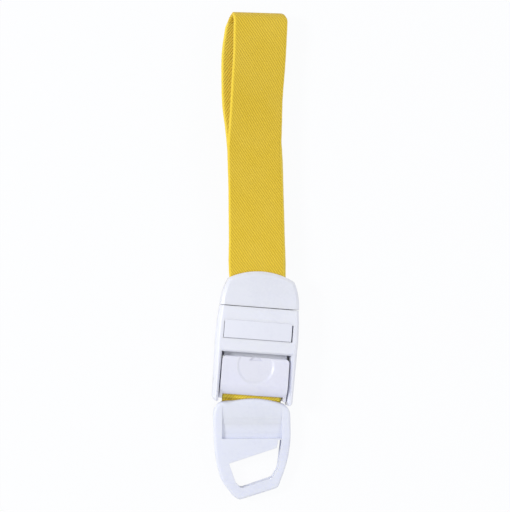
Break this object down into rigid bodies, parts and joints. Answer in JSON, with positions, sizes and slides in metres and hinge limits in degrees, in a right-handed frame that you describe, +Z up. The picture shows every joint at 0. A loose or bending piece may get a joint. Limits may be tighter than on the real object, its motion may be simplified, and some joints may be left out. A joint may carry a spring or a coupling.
{
  "type": "tourniquet",
  "caption": "Quick-release venous tourniquet: elastic strap in a loop, moulded buckle with plug-in head, press flap, clamping lever and pull tab.",
  "frame": {"origin": "on the table under the middle of the buckle, on the underside of the webbing that passes below it", "axes": "+Y along the strap from the pull tab to the loop's far fold, +Z up out of the buckle's show side, +X to the right across the buckle"},
  "size_m": [0.0434, 0.2185, 0.0167],
  "materials": {
    "buckle_plastic": "white moulding with a lavender tint, satin",
    "flap_plastic": "white moulding, satin",
    "lever_plastic": "white moulding, satin",
    "head_plastic": "white moulding, satin",
    "tab_plastic": "white moulding, fine matt grain",
    "pin_steel": "plain drawn steel",
    "spring_steel": "bright spring wire",
    "webbing": "woven elastic, yellow, diagonal rib"
  },
  "bodies": {
    "buckle": {"buckle_body": "buckle_plastic", "base_plate": "buckle_plastic", "lever_pin": "pin_steel", "lever_spring": "spring_steel", "strap_under": "webbing", "strap_feed": "webbing"},
    "flap": {"release_flap": "flap_plastic"},
    "lever": {"clamp_lever": "lever_plastic"},
    "head": {"plug_tray": "head_plastic", "latch_arm": "head_plastic", "plug_cap": "head_plastic", "anchor_bar": "pin_steel", "strap_hem": "webbing", "strap_upper": "webbing", "strap_fold": "webbing"},
    "free_end": {"strap_free": "webbing"},
    "tab": {"pull_tab": "tab_plastic", "tab_clamp": "tab_plastic", "strap_tab_end": "webbing"}
  },
  "joints": [
    {"name": "flap_press", "type": "hinge", "parent": "buckle", "child": "flap", "pos_m": [0, 0.0062, 0.0128], "axis": [1, 0, 0], "range_deg": [0, 9], "stiffness_Nm_per_rad": 0.05, "deforming": ["latch_arm"]},
    {"name": "lever_rock", "type": "hinge", "parent": "buckle", "child": "lever", "pos_m": [0, -0.0195, 0.0083], "axis": [1, 0, 0], "range_deg": [-12, 0], "stiffness_Nm_per_rad": 0.03, "deforming": ["lever_spring"]},
    {"name": "head_unplug", "type": "slide", "parent": "buckle", "child": "head", "axis": [0, 1, 0], "range_m": [0, 0.018], "deforming": ["latch_arm"]},
    {"name": "strap_pull", "type": "slide", "parent": "buckle", "child": "free_end", "axis": [0, -1, 0], "range_m": [0, 0.03]},
    {"name": "tab_swing", "type": "hinge", "parent": "free_end", "child": "tab", "pos_m": [0, -0.0276, 0.0046], "axis": [1, 0, 0], "range_deg": [-15, 30]}
  ]
}
